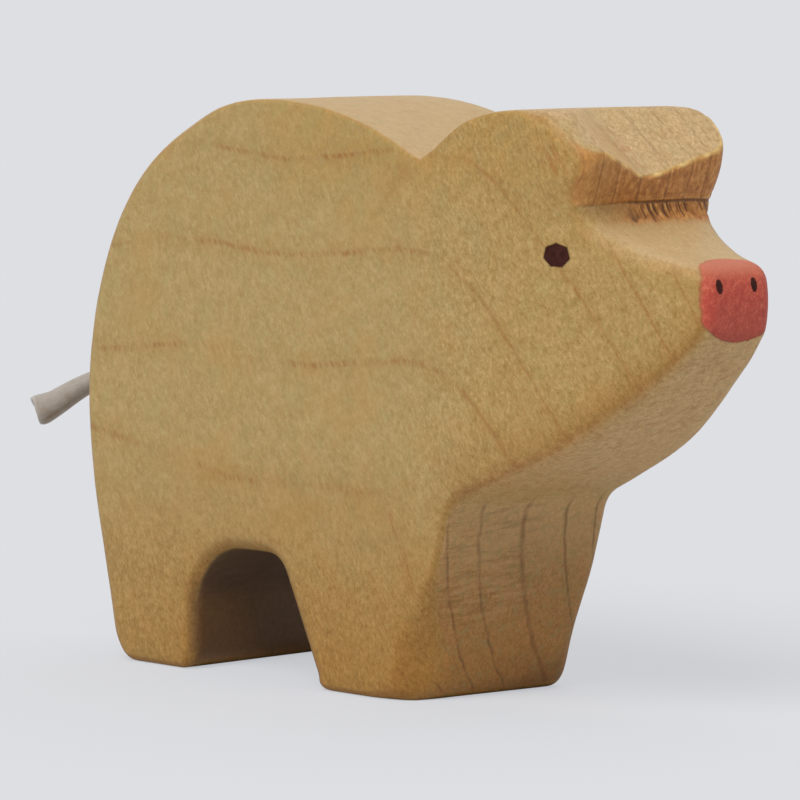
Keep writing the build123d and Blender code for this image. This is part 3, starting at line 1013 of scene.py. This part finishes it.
def wood_values(start):
    """What the layers of the wood share: places, ways of facing, marks of the tools and noises."""
    wood = SimpleNamespace(start=start, place=object_place(start))
    wood.x, wood.y, wood.z = along_axes(wood.place)
    along, across = wood.place.dot(FIBRE), wood.place.dot(FIBRE_SIDE)
    wood.fibre = joined(across, wood.y, along * FIBRE_STRETCH)
    wood.grain = joined(across, wood.y, along * GRAIN_STRETCH)
    wood.side = read_mark(start, "side")
    wood.flank = wood.side.step(0.5, 0.8)
    wood.upward = read_mark(start, "top")
    wood.top = wood.upward.step(0.45, 0.9)
    wood.front = read_mark(start, "front").step(0.45, 0.85)
    wood.torn = read_mark(start, "torn")
    wood.wall = read_mark(start, "wall")
    # Where shade is painted inside the arch
    wood.hollow = read_mark(start, "hollow")
    wood.tone = wood.grain.noise(1.4, 4.0, 1.0)
    wood.fine = wood.grain.noise(2.2, 3.0, 0.9)
    wood.mottle = wood.place.noise(0.55, 3.0, 0.7)
    wood.ticks = wood.fibre.noise(2.3, 1.0).step(0.44, 0.62)
    wood.flecks = wood.fibre.noise(2.6).step(0.55, 0.72)
    wood.rough = joined(wood.x * 0.6, wood.y, wood.z * 0.7).noise(1.2, 3.0, 0.8)
    wood.board_line = ring_line(board_ring(wood.place), BOARD_LINE) * (1.0 - wood.flank)
    wood.chest = wood.front * placed(wood.place, CHEST_HEIGHT) * (1.0 - wood.hollow)
    return wood


def plain_wood(wood):
    """The wood's own colour: grain, hues, flecks, freckles and mottling, stronger where hands wore it."""
    place, mottle, fine = wood.place, wood.mottle, wood.fine
    patches, hues, freckles = place.noise(0.09), place.noise(0.28), place.noise(3.4, 2.0, 0.6)
    worn = placed(place, WORN_FRONT).most(placed(place, WORN_FEET))
    colour = wood.tone.shades(WOOD_SHADES)
    colour = colour.mix(patches.step(0.46, 0.68) * 0.30, GOLDEN_PATCH)
    colour = colour.mix(hues.step(0.52, 0.70) * 0.30, WARM_HUE)
    colour = colour.mix(hues.step(0.48, 0.30) * 0.30, COOL_HUE)
    colour = colour.mix(wood.flecks * 0.08, FLECK)
    colour = colour.mix(place.noise(5.5, 1.0).step(0.68, 0.76) * 0.35, SPECK)
    colour = colour.mix(freckles.step(0.52, 0.72) * 0.30, WARM_FRECKLE)
    colour = colour.mix(freckles.step(0.48, 0.28) * 0.30, COOL_FRECKLE)
    colour = colour.darker(mottle.dark_spots() * 0.6, DARK_MOTTLE)
    colour = colour.mix(mottle.pale_spots() * 0.3, PALE_MOTTLE)
    colour = colour.darker(worn * fine.dark_spots(), WORN_DARK)
    return colour.mix(worn * fine.pale_spots() * 0.8, WORN_PALE)


def tinted_parts(wood, colour):
    """The wood with painted shade on its rounded rims, the tints of its legs, head and nape, and painted
    sheen and dark spots on its back.
    """
    place, flank = wood.place, wood.flank
    # Painted shade on the rounded rims, where the sides turn away from the light
    rim_shade = wood.side.step(0.35, 0.62) * wood.side.step(0.985, 0.80)
    jaw = wood.z - JAW_CURVE * (wood.x - JAW_CURVE_X).most(0.0) ** 2.0
    jaw_rim = jaw.step(*JAW_EDGE_HEIGHT) * placed(place, JAW_SIDE) * flank
    legs = placed(place, LEGS) * (1.0 - 0.22 * placed(place, RUMP))
    nape = placed(place, NAPE) * flank * wood.mottle.step(0.25, 0.65)
    back_spots = place.noise(0.4, 3.0, 0.8).dark_spots()
    colour = colour.darker(rim_shade * 0.7, PAINTED_RIM_SHADE)
    colour = colour.darker(jaw_rim * 0.8, JAW_RIM)
    colour = colour.darker(legs, LEG_BROWN)
    colour = colour.darker(read_mark(wood.start, "crease") * 0.5, CREASE_SHADE)
    colour = colour.darker(placed(place, CHEEK) * flank, CHEEK_WARMTH)
    colour = colour.darker(nape, NAPE_GOLD)
    # Painted sheen on upward faces, paler and greyer
    colour = colour.mix(wood.top * 0.4, PAINTED_TOP_SHEEN)
    return colour.darker(wood.top * back_spots * 0.5, BACK_SPOT)


def flank_lines(wood, colour):
    """The wood with the growth lines of its flanks: ticks on the body, and lines on the head."""
    place = wood.place
    ring = growth_ring(place)
    broken = (0.16 + 0.84 * wood.ticks).most(placed(place, HEAD_LINES) * 0.62)
    faded = place.noise(0.10).step(0.36, 0.58).most(placed(place, HEAD_UNFADED) * 0.6)
    clean = placed(place, CLEAN_FOOT).most(ring.step(*CLEAN_CROWN_RINGS) * placed(place, CLEAN_CROWN))
    shown = wood.flank * (1.0 - clean)
    halo = ring_line(ring, FLANK_HALO) * (0.3 + 0.7 * faded) * shown
    line = ring_line(ring, FLANK_LINE) * (0.17 + 0.40 * faded) * broken * shown
    return colour.darker(halo * 0.35, RING_HALO).mix(line, RING_DARK)


def jaw_underside(wood, colour):
    """The wood with painted bounce light and dashes under the jaw, and painted light in the fold above the
    chest, which the jaw shades.
    """
    under = wood.upward.step(-0.2, -0.6) * placed(wood.place, JAW_UNDERSIDE)
    dashes = joined(wood.x, wood.y * 0.5, wood.z).noise(1.5, 4.0, 0.9)
    colour = colour.darker(wood.front * (1.0 - placed(wood.place, THROAT)), CHEST_PINK)
    # Painted bounce light, warm and pale, under the jaw
    colour = colour.mix(under * 0.2, PAINTED_UNDERSIDE_LIGHT)
    colour = colour.darker(under * wood.mottle.dark_spots() * 0.7, UNDERSIDE_MOTTLE)
    colour = colour.darker(under * dashes.dark_spots(), DASH_DARK)
    colour = colour.mix(under * dashes.pale_spots() * 0.5, DASH_PALE)
    # Painted light in the fold that the jaw shades
    return colour.mix(wood.front * placed(wood.place, FOLD) * 0.3, PAINTED_FOLD_LIGHT)


def sawn_chest(wood, colour):
    """The wood with the saw's streaks, blotches and painted shade at the toe of the chest, and the board's
    growth lines.
    """
    x, y, z = wood.x, wood.y, wood.z
    sawn = wood.front * placed(wood.place, SAWN)
    streaks = joined(x * 0.1, y * 0.22, (z - y * 0.1) * 1.6).noise(1.0, 3.0, 0.75)
    blotches = wood.place.noise(0.8, 2.0, 0.6)
    broken = 0.45 + 0.55 * joined(x, y, z * 0.35).noise(0.9).step(0.36, 0.6)
    shown = 0.05 + 0.44 * wood.chest + 0.2 * placed(wood.place, CROWN_LINES)
    colour = colour.mix(sawn * streaks.pale_spots(0.14) * 0.42, SAW_PALE)
    colour = colour.mix(sawn * streaks.dark_spots(0.14) * 0.36, SAW_DARK)
    colour = colour.mix(wood.chest * blotches.pale_spots(0.18) * 0.22, RED_BLOTCH)
    colour = colour.mix(wood.chest * blotches.dark_spots(0.18) * 0.45, GREEN_BLOTCH)
    # Painted shade at the foot of the chest
    colour = colour.darker(wood.chest * placed(wood.place, TOE_SHADE_ZONE) * 0.8, PAINTED_TOE_SHADE)
    return colour.mix(wood.board_line * broken * shown, BOARD_RING_DARK)


def porous_crown(wood, colour):
    """The wood with painted light on the wall of the gouge between the ears, and the pores of the crown."""
    crown = wood.top.most(wood.front).most(wood.wall) * placed(wood.place, CROWN)
    pores = joined(wood.x * 0.7, wood.y * 1.7, wood.z).noise(2.0, 3.0, 0.8).step(0.52, 0.70)
    # Painted light on the gouge's right wall, which faces away from the lamps
    colour = colour.mix(wood.wall * 0.28, PAINTED_WALL_LIGHT)
    colour = colour.mix(crown * wood.fine.pale_spots() * 0.5, CROWN_PALE)
    colour = colour.darker(crown * wood.fine.dark_spots() * 0.6, CROWN_DARK)
    colour = colour.darker(crown * wood.mottle.step(0.46, 0.34) * 0.5, CROWN_SPOT)
    return colour.mix(pores * placed(wood.place, PORES) * crown * 0.5, PORE)


def cut_brow(wood, colour):
    """The wood with the torn front of the ears, the chisel marks, a painted highlight on the right ear's
    edge and painted shade inside the arch.
    """
    place = wood.place
    torn_colour = wood.rough.shades(TORN_SHADES).mix(placed(place, NEAR_CUT) * 0.4, TORN_NEAR)
    hairs = joined(wood.x * 0.2, wood.y + wood.z * 0.3, wood.z * 0.10).noise(2.2, 2.0, 0.6)
    hairs = hairs.step(0.54, 0.66) * placed(place, HAIRS)
    lines = wood.board_line * placed(place, EAR_FRONT)
    tear = read_mark(wood.start, "tear") * wood.fibre.noise(1.8).step(0.42, 0.62)
    chiselled = read_mark(wood.start, "chiselled").step(0.1, 0.9)
    # Painted highlight on the sharp edge of the right ear
    ear_edge_highlight = read_mark(wood.start, "edge").step(0.30, 0.80) * placed(place, EAR_HIGHLIGHT_ZONE)
    colour = colour.mix(wood.torn * 0.9, torn_colour)
    colour = colour.mix(wood.torn * (hairs * 0.24).most(lines * 0.45), TORN_HAIR)
    colour = colour.mix(tear * 0.6, TORN_EAR)
    colour = colour.mix(chiselled * 0.76, CHISELLED)
    colour = colour.mix(ear_edge_highlight * 0.75, PAINTED_EDGE_HIGHLIGHT)
    # Painted shade inside the arch, darker towards the foot
    return colour.mix(wood.hollow * (0.84 + 0.16 * placed(place, ARCH_FOOT)), PAINTED_ARCH_SHADE)


def wood_material():
    """Pale carved wood: growth lines, fibre flecks, pores, saw streaks, chisel cuts and rubbed edges."""
    material, shader, start = new_material("carved_wood")
    wood = wood_values(start)
    colour = plain_wood(wood)
    for layer in (tinted_parts, flank_lines, jaw_underside, sawn_chest, porous_crown, cut_brow):
        colour = layer(wood, colour)
    relief = wood.tone * 0.7 - wood.ticks * 0.2 - wood.flecks * 0.2 - wood.board_line * 0.3
    relief = relief + wood.torn * wood.rough
    roughness = 0.46 + wood.tone * 0.18
    feed(shader, base_color=colour, roughness=roughness, normal=relief.bump(0.22), specular_ior_level=0.4)
    return material


def pink_material():
    """Thin pink paint: streaky, paler on the top edge, soft and uneven where the brush stopped."""
    material, shader, start = new_material("pink_paint")
    place = object_place(start)
    x, y, z = along_axes(place)
    turned = start.node("ShaderNodeMapping", {}, {"Vector": place, "Rotation": PINK_STROKE_TURN})
    strokes = turned.scaled(1.0, 0.22, 1.5).noise(1.6, 3.0, 0.6)
    blotches = place.noise(0.5, 3.0, 0.6)
    back = ((SNOUT_X / MM - x) / PINK_REACH).most(0.0) ** PINK_CORNER_POWER
    aside = (abs(y - PINK_OFFSET) / PINK_HALF_WIDTH) ** PINK_CORNER_POWER
    below = ((PINK_MIDDLE_Z - z) / PINK_DROP).most(0.0) ** PINK_DROP_POWER
    wobble = place.noise(0.55, 3.0, 0.6) * 0.30 + place.noise(2.0) * 0.14 - 0.22
    reach = back + aside + below + wobble
    colour = place.noise(1.6, 3.0, 0.9).shades(PINK_SHADES)
    colour = colour.mix(strokes.step(0.56, 0.72) * 0.5, PINK_STROKE)
    colour = colour.mix(blotches.step(0.48, 0.68) * 0.35, PINK_BLOTCH)
    colour = colour.mix(z.step(*PINK_TOP_Z) * 0.6, PINK_TOP)
    colour = colour.mix(z.step(*PINK_LOW_Z) * 0.6, PINK_LOW)
    # Painted light at the film's edge, against the shadow the film throws on the wood
    colour = colour.mix(reach.step(*PINK_RIM) * z.step(*PINK_RIM_Z) * 0.5, PINK_EDGE_LIGHT)
    roughness = 0.5 + strokes * 0.12
    cover = reach.step(*PINK_END)
    feed(shader, base_color=colour, roughness=roughness, alpha=cover, specular_ior_level=0.3)
    return material


def dark_material():
    """Dark brown brush dots, a little uneven, thin at their edges."""
    material, shader, start = new_material("dark_paint")
    uneven = object_place(start).noise(1.1, 3.0, 0.6)
    colour = uneven.shades(DOT_SHADES)
    cover = (read_mark(start, "cover") + uneven * 0.16 - 0.08).step(0.02, 0.20)
    feed(shader, base_color=colour, roughness=0.6 + uneven * 0.2, alpha=cover, specular_ior_level=0.12)
    return material


def lace_material():
    """Soft greyish lace: faint fibres along it, stains and a paler cut end."""
    material, shader, start = new_material("tail_lace")
    place = object_place(start)
    length = read_mark(start, "length")
    fibres = joined(read_mark(start, "turn") * 3.0, length * 0.6, 0.0).noise(1.0, 3.0, 0.6)
    fluff = place.noise(4.0, 3.0, 0.7)
    colour = fibres.shades(LACE_SHADES)
    colour = colour.mix(place.noise(0.45, 3.0).step(0.46, 0.70) * 0.5, LACE_STAIN)
    colour = colour.mix(length.step(*LACE_ROOT_LENGTH) * 0.3, LACE_ROOT)
    colour = colour.mix(read_mark(start, "cut") * 0.5, LACE_CUT)
    relief = fibres * 0.5 + fluff * 0.5
    feed(shader, base_color=colour, roughness=0.85, normal=relief.bump(0.25), sheen_weight=0.25)
    return material


def glue_material():
    """Cured glue, amber and glossy."""
    material, shader, start = new_material("glue")
    cloud = object_place(start).noise(0.9)
    feed(shader, base_color=cloud.shades(GLUE_SHADES), roughness=0.22 + cloud * 0.15)
    return material


def snout_film(body):
    """The pink paint on the snout: a closed film, copied from the faces of the body that it lies on."""

    def painted(centre):
        return centre.x > FILM_X and centre.z > FILM_Z and abs(centre.y) < FILM_HALF_WIDTH

    with picked_faces(body, painted):
        bpy.ops.mesh.duplicate()
        bpy.ops.mesh.separate(type="SELECTED")
    film = named(next(piece for piece in bpy.context.selected_objects if piece != body), "pink_snout")
    move_points(film, points_of(film) + normals_of(film) * FILM_HEIGHT)
    apply_modifier(film, "SOLIDIFY", thickness=FILM_THICKNESS, offset=-1.0)
    return film


def brush_dot(body, name, node, facing, sides, spread, drop, height):
    """A dab of dark paint where its node lies, pressed on to the surface from one direction."""
    low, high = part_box(node)
    size = (high - low) * spread
    centre = (low + high) / 2 - Vector((0.0, 0.0, drop))
    bpy.ops.object.select_all(action="DESELECT")
    bpy.ops.mesh.primitive_circle_add(vertices=sides, radius=DOT_RADIUS, fill_type="NGON")
    dot = named(bpy.context.active_object, name)
    with whole_mesh(dot):
        bpy.ops.mesh.bevel(**DOT_ROUNDING)
        for thickness in DOT_INSETS:
            bpy.ops.mesh.inset(thickness=thickness)
    flat = points_of(dot)
    across = Vector((0.0, 0.0, 1.0)).cross(facing)
    start = centre + facing * DOT_CLEARANCE
    width = abs(size.dot(across))
    pressed = []
    for point, wobble in zip(flat, 1.0 + DOT_WOBBLE * lumps(flat, DOT_WOBBLE_LUMP, 7.0)):
        aside = across * (point[0] * width * wobble)
        upward = Vector((0.0, 0.0, point[1] * size.z * wobble))
        hit = body.ray_cast(start + aside + upward, -facing)[1]
        pressed.append(hit + facing * height)
    move_points(dot, np.array(pressed))
    mark(dot, cover=1.0 - np.hypot(flat[:, 0], flat[:, 1]) / DOT_RADIUS)
    with whole_mesh(dot):
        bpy.ops.mesh.normals_make_consistent(inside=False)
    if Vector(normals_of(dot).mean(0)).dot(facing) < 0.0:
        dot.data.flip_normals()
    apply_modifier(dot, "SOLIDIFY", thickness=DOT_THICKNESS, offset=-1.0)
    bpy.ops.object.shade_smooth_by_angle(angle=DOT_SMOOTH_ANGLE)
    return dot


def straight_lace():
    """The tail before it is bent: a round rod in even steps, with rings on its cut end."""
    steps = round((TAIL_ROOT_LENGTH + TAIL_FREE_LENGTH) / TAIL_STEP)
    step = (TAIL_ROOT_LENGTH + TAIL_FREE_LENGTH) / steps
    bpy.ops.object.select_all(action="DESELECT")
    bpy.ops.mesh.primitive_circle_add(vertices=TAIL_SIDES, radius=TAIL_ROOT_RADIUS, fill_type="NGON")
    tail = named(bpy.context.active_object, "soft_tail")
    with whole_mesh(tail):
        for _ in range(steps):
            bpy.ops.mesh.extrude_region_move(TRANSFORM_OT_translate={"value": (0.0, 0.0, step)})
        for thickness in TAIL_END_INSETS:
            bpy.ops.mesh.inset(thickness=thickness)
    return tail


def around_lace(turn, rate, along):
    """Places around the lace for its noises, in lumps."""
    return np.stack([np.cos(turn) * rate, np.sin(turn) * rate, along], 1)


def lace_radius(length, turn, lower, free):
    """How thick the lace is at each point: pinched at the wood, flared below and lipped at its end."""
    flare = np.clip((length - TAIL_FLARE_START) / (TAIL_FREE_LENGTH - TAIL_FLARE_START), 0.0, 1.0)
    flare = lower * flare**TAIL_FLARE_POWER
    lip = (1.0 - lower) * ramp(length, *(share * TAIL_FREE_LENGTH for share in TAIL_LIP_SHARES))
    radius = TAIL_ROOT_RADIUS - TAIL_PINCH * free + TAIL_FLARE * flare + TAIL_LIP * lip
    folds = lumps(around_lace(turn, TAIL_FOLD_RATE, length / TAIL_FOLD_LENGTH), 1.0, 11.0)
    rounding = np.clip((length - TAIL_FREE_LENGTH) / TAIL_ROUNDING + 1.0, 0.0, 1.0) ** 3
    return radius * (1.0 + TAIL_FOLD_SHARE * free * folds) * (1.0 - TAIL_ROUNDING_SHARE * lower * rounding)


def lace_end(length, turn, share, lower, at_tip):
    """How far each point near the cut end stands out: frayed, slanted and a little domed."""
    near_tip = ramp(length, TAIL_FREE_LENGTH - TAIL_FRAYED, TAIL_FREE_LENGTH)
    fray = TAIL_FRAY * lumps(around_lace(turn, TAIL_FRAY_RATE, share), 1.0, 12.0)
    slant = TAIL_SLANT * np.clip(lower - TAIL_SLANT_START_SHARE, 0.0, 1.0) * share
    dome = at_tip * TAIL_DOME * np.clip(1.0 - share**2, 0.0, 1.0)
    return near_tip * (fray + slant) + dome


def tail_place(length):
    """Where the middle of the tail is at a length from its bend, and which way it runs there."""
    back = Vector((-1.0, 0.0, 0.0))
    aside = Vector((0.0, -math.cos(TAIL_BEND_TILT), -math.sin(TAIL_BEND_TILT)))
    turn = min(max(length / TAIL_BEND_RADIUS, 0.0), TAIL_BEND_ANGLE)
    ahead = back * math.cos(turn) + aside * math.sin(turn)
    centre = TAIL_HINGE + back * (TAIL_BEND_RADIUS * math.sin(turn))
    centre = centre + aside * (TAIL_BEND_RADIUS * (1.0 - math.cos(turn)))
    centre = centre + ahead * (length - turn * TAIL_BEND_RADIUS)
    return centre, ahead, back.cross(aside)


def soft_tail():
    """The lace: a straight root, a bend down to the pig's right, a wide lower lip and a cut end."""
    tail = straight_lace()
    straight = points_of(tail)
    length = straight[:, 2] - TAIL_ROOT_LENGTH
    turn = np.arctan2(straight[:, 1], straight[:, 0])
    share = np.hypot(straight[:, 0], straight[:, 1]) / TAIL_ROOT_RADIUS
    lower = np.clip(0.5 - 0.6 * np.cos(turn - TAIL_BEND_TILT), 0.0, 1.0)
    free = ramp(length, *TAIL_FREE)
    at_tip = ramp(length, TAIL_FREE_LENGTH - TAIL_CUT, TAIL_FREE_LENGTH)
    radius = lace_radius(length, turn, lower, free) * share
    reach = length + lace_end(length, turn, share, lower, at_tip)
    bent = []
    for s, t, r, f in zip(reach, turn, radius, free):
        centre, ahead, side = tail_place(s)
        up = ahead.cross(side)
        lift = Vector((0.0, 0.0, TAIL_LIFT * f))
        bent.append(centre + lift + side * (r * math.cos(t)) + up * (r * math.sin(t)))
    move_points(tail, np.array(bent))
    mark(tail, length=length / MM, turn=np.abs(turn), cut=at_tip)
    with whole_mesh(tail):
        bpy.ops.mesh.normals_make_consistent(inside=False)
    bpy.ops.object.shade_smooth_by_angle(angle=TAIL_SMOOTH_ANGLE)
    return tail


def pale_floor():
    """The floor: it takes and throws light as matt card, and the camera sees its shadows softened."""
    material, shader, start = new_material("pale_floor")
    feed(shader, base_color=FLOOR_CARD, roughness=1.0, specular_ior_level=0.0)
    seen = start.node("ShaderNodeLightPath", {}, {}, "Is Camera Ray")
    glow = start.node("ShaderNodeEmission", {}, {"Color": FLOOR_GLOW})
    card = Value(material.node_tree, shader.outputs[0])
    surface = start.node("ShaderNodeMixShader", {}, {0: seen * FLOOR_GLOW_SHARE, 1: card, 2: glow})
    output = material.node_tree.nodes["Material Output"]
    material.node_tree.links.new(surface.socket, output.inputs["Surface"])
    return material


def wear(piece, material):
    """Gives a piece its one material."""
    piece.data.materials.clear()
    piece.data.materials.append(material)


def dress(piece, material):
    """Gives a piece its one material."""
    wear(piece, material)


def pig():
    """Every piece of the figure, on the bodies that carry them."""
    body = wooden_body()
    snout = snout_film(body)
    forward = Vector((1.0, 0.0, 0.0))
    dots = []
    for side_name, side in (("left", 1.0), ("right", -1.0)):
        outward = Vector((0.0, side, 0.0))
        for kind, facing, dab in (("eye", outward, EYE), ("nostril", forward, NOSTRIL)):
            name = side_name + "_" + kind
            node = name + "_paint"
            dots.append((brush_dot(body, name, node, facing, **dab), node))
    dress(body, wood_material())
    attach(body, "pig")
    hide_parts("body")
    dress(snout, pink_material())
    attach(snout, "pig")
    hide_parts("snout_paint")
    dark = dark_material()
    for dot, node in dots:
        dress(dot, dark)
        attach(dot, "pig")
        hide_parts(node)
    tail = soft_tail()
    dress(tail, lace_material())
    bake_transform(tail)
    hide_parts("tail", "tail_root")
    wear(frame["nodes"]["tail_glue"], glue_material())


def studio():
    """Pale floor, soft light and the camera of the photograph."""
    scene = bpy.context.scene
    scene.view_settings.view_transform = "Standard"
    bpy.ops.object.select_all(action="DESELECT")
    bpy.ops.mesh.primitive_plane_add(size=FLOOR_SIZE)
    floor = named(bpy.context.active_object, "floor")
    floor.data.materials.append(pale_floor())

    world = bpy.data.worlds.new("studio")
    scene.world = world
    world.use_nodes = True
    start = Value(world.node_tree)
    seen = start.node("ShaderNodeLightPath", {}, {}, "Is Camera Ray")
    mirrored = start.node("ShaderNodeLightPath", {}, {}, "Is Glossy Ray")
    background = world.node_tree.nodes["Background"]
    strength = BACKDROP_LIGHT + BACKDROP_SEEN * seen.most(mirrored)
    feed(background, color=BACKDROP, strength=strength)

    for name, aim, strength, angle, colour in LAMPS:
        lamp = bpy.data.lights.new(name, "SUN")
        lamp.energy = strength
        lamp.angle = angle
        lamp.color = colour
        light = bpy.data.objects.new(name, lamp)
        light.rotation_euler = Vector(aim).to_track_quat("-Z", "Y").to_euler()
        scene.collection.objects.link(light)

    camera = bpy.data.objects.new("camera", bpy.data.cameras.new("camera"))
    camera.location = CAMERA_PLACE
    camera.rotation_euler = (CAMERA_PITCH, 0.0, CAMERA_AZIMUTH)
    camera.data.lens = CAMERA_LENS
    camera.data.sensor_width = CAMERA_SENSOR
    camera.data.clip_start, camera.data.clip_end = CAMERA_REACH
    scene.collection.objects.link(camera)
    scene.camera = camera


pig()
studio()
